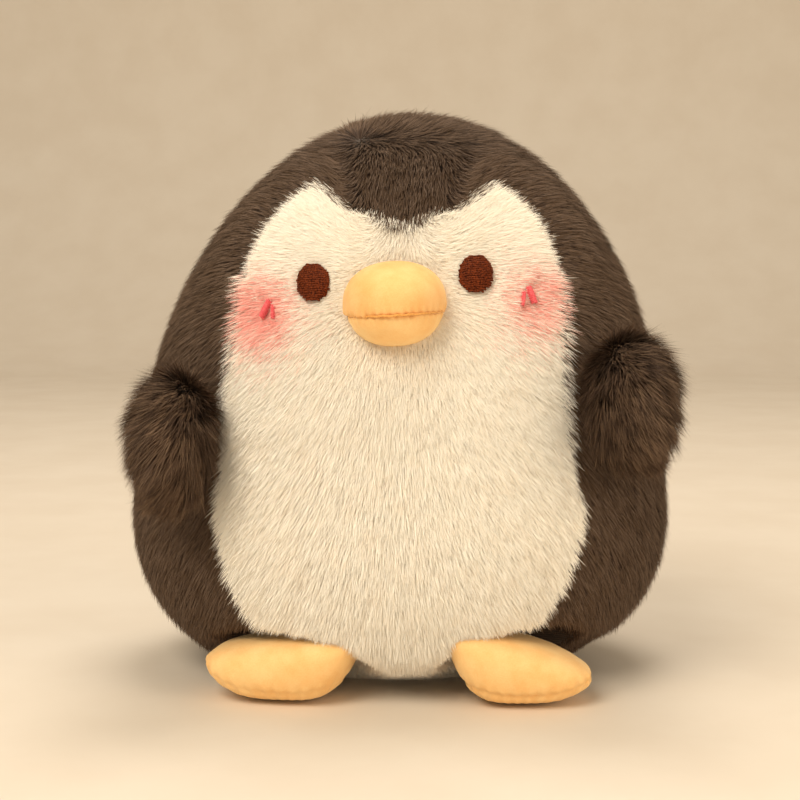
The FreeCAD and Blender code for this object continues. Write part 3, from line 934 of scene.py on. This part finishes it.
def wingCloth(side):
    # a stub drawn from its tip back, flattened at the root so that it clears the body as it swings
    x, z = sewnAt(*wingRoots[side])
    surface = onFront(x, z)
    root = surface + Vector((0, -wingShape["gap"], 0))
    turn = Matrix.Rotation(math.radians(side * wingShape["turnOut"][side]), 3, "Z")
    centre = root + turn @ Vector((0, -wingShape["reach"], 0))
    half = [h - wingShape["clothInset"] for h in wingShape["half"]]
    drawn, rings, columns = [], wingShape["rings"], wingShape["columns"]
    for ring in range(rings + 1):
        angle = math.pi * ring / rings
        for column in range(columns):
            around = 2 * math.pi * column / columns
            drawn.append(turn @ Vector((half[0] * math.sin(angle) * math.cos(around),
                                        -half[1] * math.cos(angle),
                                        half[2] * math.sin(angle) * math.sin(around))) + centre)
            if ring in (0, rings):
                break
    drawn = np.array([tuple(p) for p in drawn])
    forward = np.array(turn @ Vector((0, -1, 0)))
    base = np.array(root)
    normal = normalAt(surface)
    walls = [np.array(Matrix.Rotation(math.radians(-swing), 3, "Z") @ normal)
             for swing in (0, side * wingShape["swing"])]
    for away in walls:
        depth = (drawn - base) @ away - wingShape["rootGap"]
        drawn = drawn + (np.maximum(-depth, 0) / (forward @ away))[:, None] * forward
    found = [(0, 1 + column, 1 + (column + 1) % columns) for column in range(columns)]
    for ring in range(rings - 2):
        a, b = 1 + ring * columns, 1 + (ring + 1) * columns
        found += [(a + c, b + c, b + (c + 1) % columns, a + (c + 1) % columns) for c in range(columns)]
    a, last = 1 + (rings - 2) * columns, len(drawn) - 1
    found += [(a + c, last, a + (c + 1) % columns) for c in range(columns)]
    cloth = closeUp(newPiece("wingCloth" + ("Left" if side > 0 else "Right"), drawn * mm, found))
    spots = coordinates(cloth.data) / mm
    offWalls = np.min([(spots - base) @ away - wingShape["rootGap"] for away in walls], axis=0)
    return cloth, offWalls, forward


for side, name in sides:
    end = name.capitalize()
    cloth, offWalls, forward = wingCloth(side)
    normals = vertexNormals(cloth.data)
    finish(cloth, "wing_" + name, darkKnit,
           ("wing_outer_panel_" + name, "wing_inner_panel_" + name, "wing_stuffing_" + name))
    grown = cloth.data.copy()
    pileBase = bpy.data.objects.new("wingPile" + end, grown)
    scene.collection.objects.link(pileBase)
    way = np.array(wingShape["brushing"]) * (side, 1, 1)
    back = way - normals * (normals @ way)[:, None]
    back /= np.maximum(np.linalg.norm(back, axis=1), 0.25)[:, None]
    storeOnPoints(grown, "brushed", back)
    storeOnPoints(grown, "outline", np.full(len(offWalls), 20.0))
    storeOnPoints(grown, "bare", offWalls - 0.8)
    storeOnPoints(grown, "pileLength", 0.78 + 0.22 * smoothStep(normals @ forward, -0.6, 0.6))
    storeOnPoints(grown, "blush", np.zeros(len(offWalls)))
    growPile(pileBase, wingTree, "wing_" + name, dict(wingPile, Seed=17 + side))
print("wings made")


# velvet feet

footSim = {"voxel": 3.0, "pressure": 4.0, "cap": 3.0, "levels": 2}
footSew = {
    "rings": 14, "columns": 56,
    "start": 0.95,           # share of the full size before it is stuffed
    "boxy": 0.72,            # powers under 1 are fuller than an ellipse, seen from above
    "domed": 0.5,            # and seen from the side
    "soleGap": 0.6,          # mm from the floor to the sole before it is stuffed
    "innerCurl": 0.85, "curlFall": 0.5,      # how far the sole curls up at its ends, less at the outer one
    "innerEdge": 0.85, "edgeFall": 0.38,     # the widest place, as a share of the height
    "ahead": 3.0, "aside": {1: -1.0, -1: -0.8},
    "seamHeight": 5.0, "seamBow": 6.5,       # the seam lies low and lifts to both ends
    "seamDepth": {1: 0.9, -1: 0.35}, "seamWidth": 1.0,
    "seamRadius": 24.5,      # mm, gives the length along the seam for an angle round the foot
    "puckerPitch": 4.2, "puckerHeight": 0.28, "puckerWidth": 3.0,
    "floor": 0.3,
}


def footPillow(side, name):
    # a half-moon of two panels, higher at the inner end
    centre, turn = footFrame(side)
    stand = centre + Vector((footSew["aside"][side], -footSew["ahead"], 0))
    rings, columns = footSew["rings"], footSew["columns"]
    drawn = []
    half = [h * footSew["start"] for h in footShape["half"]]
    half[0] *= footShape["stretch"][side]
    inner, outer, bulge = (footShape[key][side] for key in ("inner", "outer", "bulge"))
    for ring in range(rings + 1):
        rise = math.pi * (ring / rings - 0.5)
        for column in range(columns):
            around = 2 * math.pi * column / columns
            flatX = math.copysign(abs(math.cos(around)) ** footSew["boxy"], math.cos(around))
            flatY = math.copysign(abs(math.sin(around)) ** footSew["boxy"], math.sin(around))
            level = math.sin(rise)
            reach = math.cos(rise) ** footSew["domed"]
            out = reach * flatX
            # seen from the front the top falls from the inner end to the outer one
            share = 0.5 + 0.5 * side * out
            top = inner + (outer - inner) * share + bulge * (1 - out * out)
            curl = footSew["innerCurl"] - footSew["curlFall"] * share
            low = footSew["soleGap"] + top * curl * abs(out) ** 4
            edge = footSew["innerEdge"] - footSew["edgeFall"] * share
            height = low + (top - low) * (edge + (1 - edge if level > 0 else edge) * level)
            middle = stand + turn @ Vector((half[0] * out, half[1] * reach * flatY, 0))
            drawn.append(Vector((middle.x, middle.y, height)))
            if ring in (0, rings):
                break
    found = [(0, 1 + (c + 1) % columns, 1 + c) for c in range(columns)]
    for ring in range(rings - 2):
        a, b = 1 + ring * columns, 1 + (ring + 1) * columns
        found += [(a + c, a + (c + 1) % columns, b + (c + 1) % columns, b + c) for c in range(columns)]
    a, last = 1 + (rings - 2) * columns, len(drawn) - 1
    found += [(a + c, a + (c + 1) % columns, last) for c in range(columns)]
    piece = closeUp(newPiece("foot" + name, [p * mm for p in drawn], found))
    stuff(piece, footSim)
    sewFoot(piece, side)
    return piece


def sewFoot(piece, side):
    # the edge seam, drawn in with small puckers; nothing is left below the resting height
    centre, turn = footFrame(side)
    spots = coordinates(piece.data) / mm
    normals = vertexNormals(piece.data)
    local = (spots - np.array(centre)) @ np.array(turn)
    out = local[:, 0] / footShape["half"][0]
    offSeam = spots[:, 2] - footSew["seamHeight"] - footSew["seamBow"] * abs(out) ** 2.4
    around = np.arctan2(local[:, 1] / footShape["half"][1], out)
    run = around * footSew["seamRadius"]
    dip = footSew["seamDepth"][side] * np.exp(-(offSeam / footSew["seamWidth"]) ** 2)
    pucker = footSew["puckerHeight"] * np.cos(2 * math.pi * run / footSew["puckerPitch"]) \
        * np.exp(-(offSeam / footSew["puckerWidth"]) ** 2)
    spots += normals * (pucker - dip)[:, None]
    spots[:, 2] = np.maximum(spots[:, 2], footSew["floor"])
    setCoordinates(piece.data, spots * mm)


for side, name in sides:
    piece = footPillow(side, name.capitalize())
    # the feet wear the paler velvet, painted light for the weaker light low down
    finish(piece, "foot_" + name, paintedLightVelvet,
           ("foot_upper_" + name, "foot_sole_" + name, "foot_stuffing_" + name))
print("feet sewn")


# velvet beak

beakSim = {"voxel": 1.5, "pressure": 3.0, "cap": 0.9, "levels": 1}
beakShape = {
    "centre": (0.0, -68.0, 140.5), "half": (17.3, 22.5, 14.8), "mouth": 137.3,
    "wider": 1.05, "aside": 0.6, "start": 0.965,
    "boxy": 2.2,             # power over 2 is fuller than an ellipse, seen from the front
    "lowerWidth": 0.94, "lowerDepth": 0.97,      # the lower lip against the upper one
    "lipOverlap": 0.35,      # mm that each lip reaches past the mouth line
    "puckerPitch": 3.1, "puckerHeight": 0.3, "puckerReach": 2.2, "puckerPhase": 1.2,
    "lipRound": (17.0, 22.0, 19.0),      # half width and depth at the mouth, and the radius for the pitch
}


def beakFrame():
    x, z = sewnAt(0.0, beakShape["centre"][2])
    turn = Matrix.Rotation(math.radians(-bodyShape["faceTilt"]), 3, "Y")
    return Vector((x, beakShape["centre"][1], z)), turn


def beakHalf(name, upper):
    # one lip: the oval above or below the mouth line, closed along it
    centre, turn = beakFrame()
    mouth = beakShape["mouth"] - beakShape["centre"][2]
    half = [h * beakShape["start"] for h in beakShape["half"]]
    work = bmesh.new()
    bmesh.ops.create_icosphere(work, subdivisions=5, radius=1.0)
    for corner in work.verts:
        x, y, z = corner.co
        fuller = max(1e-9, math.hypot(x, z))
        power = beakShape["boxy"]
        fuller /= max(1e-9, abs(x) ** power + abs(z) ** power) ** (1 / power)
        corner.co = Vector((x * half[0] * fuller * beakShape["wider"] - beakShape["aside"],
                            y * half[1], z * half[2] * fuller))
        if not upper:
            corner.co.y *= beakShape["lowerDepth"]
            corner.co.x *= beakShape["lowerWidth"]
    level = mouth + (-beakShape["lipOverlap"] if upper else beakShape["lipOverlap"])
    cut = bmesh.ops.bisect_plane(
        work, geom=work.verts[:] + work.edges[:] + work.faces[:], plane_co=(0, 0, level),
        plane_no=(0, 0, -1 if upper else 1), clear_outer=True)
    edges = [e for e in cut["geom_cut"] if isinstance(e, bmesh.types.BMEdge)]
    bmesh.ops.contextual_create(work, geom=edges)
    for corner in work.verts:
        corner.co = (turn @ corner.co + centre) * mm
    mesh = bpy.data.meshes.new(name)
    work.to_mesh(mesh)
    work.free()
    piece = bpy.data.objects.new(name, mesh)
    scene.collection.objects.link(piece)
    stuff(piece, beakSim)
    spots, normals = coordinates(piece.data) / mm, vertexNormals(piece.data)
    local = (spots - np.array(centre)) @ np.array(turn)
    near = np.exp(-((local[:, 2] - mouth) / beakShape["puckerReach"]) ** 2)
    wide, deep, radius = beakShape["lipRound"]
    run = np.arctan2(local[:, 0] / wide, -local[:, 1] / deep) * radius
    phase = 0 if upper else beakShape["puckerPhase"]
    lift = beakShape["puckerHeight"] * np.cos(2 * math.pi * run / beakShape["puckerPitch"] + phase)
    spots += normals * (near * lift)[:, None]
    setCoordinates(piece.data, spots * mm)
    return piece


for name, upper in (("beakUpper", True), ("beakLower", False)):
    # the lower lip wears the paler velvet, painted light against the shade under the upper lip
    finish(beakHalf(name, upper), "body", yellowVelvet if upper else paintedLightVelvet,
           ("beak_upper" if upper else "beak_lower", "beak_stuffing"))
print("beak sewn")


# threads

def threadTree(material):
    # a thread along each line of edges, with a small wander
    tree = bpy.data.node_groups.new("threads" + material.name, "GeometryNodeTree")
    sockets = tree.interface
    sockets.new_socket(name="Geometry", in_out="INPUT", socket_type="NodeSocketGeometry")
    for label in ("Thread radius", "Wander", "Wander size"):
        sockets.new_socket(name=label, in_out="INPUT", socket_type="NodeSocketFloat")
    sockets.new_socket(name="Sides", in_out="INPUT", socket_type="NodeSocketInt")
    sockets.new_socket(name="Geometry", in_out="OUTPUT", socket_type="NodeSocketGeometry")
    given = addNode(tree, "NodeGroupInput").outputs
    line = addNode(tree, "GeometryNodeMeshToCurve", None, {"Mesh": given["Geometry"]})
    place = addNode(tree, "GeometryNodeInputPosition")
    scale = addNode(tree, "ShaderNodeMath", {"operation": "DIVIDE"}, {0: 1.0, 1: given["Wander size"]})
    drift = addNode(tree, "ShaderNodeTexNoise", None, {
        "Vector": place.outputs["Position"], "Scale": scale.outputs[0], "Detail": 1.0})
    centred = addNode(tree, "ShaderNodeVectorMath", {"operation": "SUBTRACT"}, {
        0: drift.outputs["Color"], 1: (0.5, 0.5, 0.5)})
    shifted = addNode(tree, "ShaderNodeVectorMath", {"operation": "SCALE"}, {
        0: centred.outputs[0], "Scale": given["Wander"]})
    wavy = addNode(tree, "GeometryNodeSetPosition", None, {
        "Geometry": line.outputs["Curve"], "Offset": shifted.outputs[0]})
    ring = addNode(tree, "GeometryNodeCurvePrimitiveCircle", None, {
        "Resolution": given["Sides"], "Radius": given["Thread radius"]})
    thread = addNode(tree, "GeometryNodeCurveToMesh", None, {
        "Curve": wavy.outputs["Geometry"], "Profile Curve": ring.outputs["Curve"], "Fill Caps": True})
    smooth = addNode(tree, "GeometryNodeSetShadeSmooth", None, {"Geometry": thread.outputs["Mesh"]})
    real = addNode(tree, "GeometryNodeRealizeInstances", None, {"Geometry": smooth.outputs["Geometry"]})
    done = addNode(tree, "GeometryNodeSetMaterial", None, {
        "Geometry": real.outputs["Geometry"], "Material": material})
    addNode(tree, "NodeGroupOutput", None, {"Geometry": done.outputs["Geometry"]})
    return tree


def layThreads(name, lines, tree, thread):
    spots, edges = [], []
    for line in lines:
        edges += [(len(spots) + step, len(spots) + step + 1) for step in range(len(line) - 1)]
        spots += line
    mesh = bpy.data.meshes.new(name)
    mesh.from_pydata([tuple(p * mm) for p in spots], edges, [])
    piece = bpy.data.objects.new(name, mesh)
    scene.collection.objects.link(piece)
    modifier = piece.modifiers.new("threads", "NODES")
    modifier.node_group = tree
    for socket in tree.interface.items_tree:
        if socket.in_out == "INPUT" and socket.name in thread:
            modifier[socket.identifier] = thread[socket.name]
    return closeUp(settle(piece))


def joined(first, *others):
    work = bmesh.new()
    for piece in (first, *others):
        work.from_mesh(piece.data)
    work.to_mesh(first.data)
    work.free()
    for piece in others:
        bpy.data.objects.remove(piece)
    return first


eyeWork = {"rowPitch": 0.72, "dome": 1.0, "sunk": 3.2, "ragged": 0.35, "steps": 14,
           "Thread radius": 0.44 * mm, "Wander": 0.45 * mm, "Wander size": 1.6 * mm, "Sides": 6}
cheekWork = {"pitch": 0.62, "Thread radius": 0.36 * mm, "Wander": 0.2 * mm,
             "Wander size": 1.5 * mm, "Sides": 6}
eyeTree, cheekTree = threadTree(eyeThread), threadTree(cheekThread)
mouthTree, seamTree = threadTree(mouthThread), threadTree(seamThread)


def eyePad(side, name):
    # the raised pad of thread that the rows lie on, down to the cloth
    centreX, centreZ = sewnAt(*face["eye"][side])
    halfX, halfZ = face["eyeHalf"]
    levels = [(0.9, -eyeWork["sunk"]), (0.96, -0.3), (0.9, 0.15)]
    levels += [(share, 0.15 + eyeWork["dome"] * 0.7 * (1 - share ** 2)) for share in (0.75, 0.5, 0.25)]
    drawn, columns = [], 40
    for share, out in levels:
        for column in range(columns):
            around = 2 * math.pi * column / columns
            drawn.append(onFront(centreX + halfX * share * math.cos(around),
                                 centreZ + halfZ * share * math.sin(around), out))
    drawn += [onFront(centreX, centreZ, 0.15 + eyeWork["dome"] * 0.7),
              onFront(centreX, centreZ, -eyeWork["sunk"])]
    found = []
    for ring in range(len(levels) - 1):
        a, b = ring * columns, (ring + 1) * columns
        found += [(a + c, a + (c + 1) % columns, b + (c + 1) % columns, b + c) for c in range(columns)]
    a, top, bottom = (len(levels) - 1) * columns, len(drawn) - 2, len(drawn) - 1
    found += [(a + c, a + (c + 1) % columns, top) for c in range(columns)]
    found += [((c + 1) % columns, c, bottom) for c in range(columns)]
    return closeUp(newPiece(name, [p * mm for p in drawn], found))


def eyeRows(side):
    centreX, centreZ = sewnAt(*face["eye"][side])
    halfX, halfZ = face["eyeHalf"]
    chance = np.random.default_rng(90 + side)
    rows, row = [], -halfZ + 0.5
    while row < halfZ - 0.3:
        reach = halfX * math.sqrt(1 - (row / halfZ) ** 2)
        left = -reach + chance.uniform(-1, 1) * eyeWork["ragged"]
        right = reach + chance.uniform(-1, 1) * eyeWork["ragged"]
        line = []
        for step in range(eyeWork["steps"] + 1):
            across = left + (right - left) * step / eyeWork["steps"]
            share = min(1.0, math.hypot(across / halfX, row / halfZ))
            edge = 0.9 * (2 * step / eyeWork["steps"] - 1) ** 8
            out = 0.1 + eyeWork["dome"] * (1 - share ** 2) - edge
            line.append(onFront(centreX + across, centreZ + row + 0.12 * math.sin(across * 1.7 + row), out))
        rows.append(line)
        row += eyeWork["rowPitch"]
    return rows


def cheekRows(side):
    rows = []
    for start, end, radius in face["strokes"]:
        a, b = Vector(sewnAt(side * start[0], start[1])), Vector(sewnAt(side * end[0], end[1]))
        long = (b - a).length
        run = (b - a).normalized()
        cross = Vector((-run.y, run.x))
        count = max(3, round(long / cheekWork["pitch"]))
        for number in range(count + 1):
            middle = a + run * long * number / count
            wide = radius * (0.75 + 0.25 * math.sin(math.pi * number / count))
            line = []
            for step in range(7):
                t = step / 3 - 1
                spot = middle + (cross + run * 0.35) * wide * t
                line.append(onFront(spot.x, spot.y, 0.4 + radius * 0.5 * (1 - t * t) - 1.2 * abs(t) ** 6))
            rows.append(line)
    return rows


for side, name in sides:
    end = name.capitalize()
    pad = eyePad(side, "eye" + end)
    pad.data.materials.append(eyeThread)
    rows = layThreads("eyeRows" + end, eyeRows(side), eyeTree, eyeWork)
    finish(joined(pad, rows), "body", eyeThread, ("eye_" + name,))
    strokes = layThreads("cheekStitch" + end, cheekRows(side), cheekTree, cheekWork)
    finish(strokes, "body", cheekThread, ("cheek_stitch_" + name,))


def mouthLine():
    # the thread that draws the mouth crease in
    centre, turn = beakFrame()
    half = beakShape["half"]
    mouth = beakShape["mouth"] - beakShape["centre"][2]
    shrink = math.sqrt(1 - (mouth / half[2]) ** 2)
    line = []
    for step in range(61):
        angle = math.radians(-82 + 164 * step / 60)
        local = Vector((half[0] * shrink * math.sin(angle), -half[1] * shrink * math.cos(angle), 0))
        local *= (local.length - 0.9) / local.length
        local.z = mouth + 0.12 * math.sin(angle * 22)
        line.append(turn @ local + centre)
    return [line]


mouth = layThreads("mouthStitch", mouthLine(), mouthTree, {
    "Thread radius": 0.42 * mm, "Wander": 0.25 * mm, "Wander size": 3 * mm, "Sides": 8})
finish(mouth, "body", mouthThread, ("mouth_stitch",))


def closingLines():
    # hand-sewn ladder stitches down the back, where it was stuffed
    lines = []
    for number in range(7):
        z = 52 + 5 * number
        slope = math.radians(14 if number % 2 else -14)
        line = []
        for step in range(5):
            along = 4.0 * (step / 4 - 0.5)
            x, height = leanAt(z) + along * math.cos(slope), z + along * math.sin(slope)
            front = onFront(x, height, -0.6 - 0.8 * (step / 2 - 1) ** 4)
            line.append(Vector((front.x, -front.y, front.z)))
        lines.append(line)
    return lines


closing = layThreads("closingStitch", closingLines(), seamTree, {
    "Thread radius": 0.45 * mm, "Wander": 0.1 * mm, "Wander size": 3 * mm, "Sides": 8})
finish(closing, "body", seamThread, ("closing_stitch",))
print("threads laid")


# blank label in the base seam

labelShape = {"width": 20.0, "thickness": 0.6, "x": 38.0, "z": 3.3, "droop": 1.6}


def careLabel():
    low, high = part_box("care_label")
    startY, endY = low.y / mm, high.y / mm - 0.5
    steps, across = 14, 10
    drawn = []
    for layer in (0, 1):
        for step in range(steps + 1):
            t = step / steps
            sag = labelShape["droop"] * math.sin(math.pi * t) * 0.5
            thick = labelShape["thickness"] * (0.5 if layer else -0.5) * (1 - 0.6 * t ** 12)
            for column in range(across + 1):
                u = column / across - 0.5
                wave = 0.25 * math.sin(u * 5 + t * 2)
                drawn.append((labelShape["x"] + u * labelShape["width"], startY + (endY - startY) * t,
                              labelShape["z"] - sag + 1.2 * t + thick + wave))
    row = across + 1
    found = []
    for layer in (0, 1):
        base = layer * (steps + 1) * row
        for step in range(steps):
            for column in range(across):
                a = base + step * row + column
                quad = (a, a + 1, a + row + 1, a + row)
                found.append(quad if layer else quad[::-1])
    rim = list(range(across)) + [s * row + across for s in range(steps)] \
        + [steps * row + c for c in range(across, 0, -1)] + [s * row for s in range(steps, 0, -1)]
    top = (steps + 1) * row
    for a, b in zip(rim, rim[1:] + rim[:1]):
        found.append((a, b, b + top, a + top))
    return closeUp(newPiece("careLabel", [Vector(p) * mm for p in drawn], found))


finish(careLabel(), "body", satin, ("care_label",))

for fibre in list(fibres.objects):
    bpy.data.objects.remove(fibre)
bpy.data.collections.remove(fibres)


# floor, light and camera

studio = {
    "floor": 6.0, "wallAt": 1.3, "bend": 0.5, "wallHeight": 3.0,
    "keyPower": 16.0, "fillPower": 6.0, "topPower": 9.0, "airStrength": 0.55,
    "cameraDistance": 0.600, "cameraHeight": 0.160, "cameraTurn": 3.0, "cameraPitch": -5.6,
    "lens": 71.0, "sensorWidth": 36.0,
}


def seamlessFloor():
    wide = studio["floor"] / 2
    profile = [(-wide, 0.0), (studio["wallAt"], 0.0)]
    for step in range(1, 13):
        angle = math.pi / 2 * step / 12
        profile.append((studio["wallAt"] + studio["bend"] * math.sin(angle),
                        studio["bend"] * (1 - math.cos(angle))))
    profile.append((studio["wallAt"] + studio["bend"], studio["wallHeight"]))
    drawn = [(x, y, z) for y, z in profile for x in (-wide, wide)]
    found = [(2 * n, 2 * n + 1, 2 * n + 3, 2 * n + 2) for n in range(len(profile) - 1)]
    floor = newPiece("seamlessFloor", drawn, found)
    floor.data.materials.append(paper)


def softLight(name, power, size, place, target, hexColour):
    data = bpy.data.lights.new(name, "AREA")
    data.shape, data.size, data.energy = "DISK", size, power
    data.color = toLinear(hexColour)[:3]
    lamp = bpy.data.objects.new(name, data)
    lamp.location = place
    lamp.rotation_euler = (Vector(target) - Vector(place)).to_track_quat("-Z", "Y").to_euler()
    scene.collection.objects.link(lamp)


seamlessFloor()
aim = (0, 0, 0.1)
softLight("keyLight", studio["keyPower"], 0.9, (-0.55, -1.0, 1.15), aim, "#FFF1DC")
softLight("fillLight", studio["fillPower"], 1.0, (1.1, -0.8, 0.6), aim, "#FFE9CC")
softLight("topLight", studio["topPower"], 0.8, (0.1, 0.3, 1.4), aim, "#FFF4E4")
world = bpy.data.worlds.new("studioAir")
world.use_nodes = True
world.node_tree.nodes["Background"].inputs["Color"].default_value = toLinear("#F6E7D0")
world.node_tree.nodes["Background"].inputs["Strength"].default_value = studio["airStrength"]
scene.world = world
scene.view_settings.view_transform = "Standard"

camera = bpy.data.objects.new("camera", bpy.data.cameras.new("camera"))
turn, pitch = math.radians(studio["cameraTurn"]), math.radians(studio["cameraPitch"])
camera.location = (studio["cameraDistance"] * math.sin(turn), -studio["cameraDistance"] * math.cos(turn),
                   studio["cameraHeight"])
camera.rotation_euler = (math.pi / 2 + pitch, 0, turn)
camera.data.lens, camera.data.sensor_width = studio["lens"], studio["sensorWidth"]
camera.data.clip_start, camera.data.clip_end = 0.01, 20
scene.collection.objects.link(camera)
scene.camera = camera
print("studio ready")
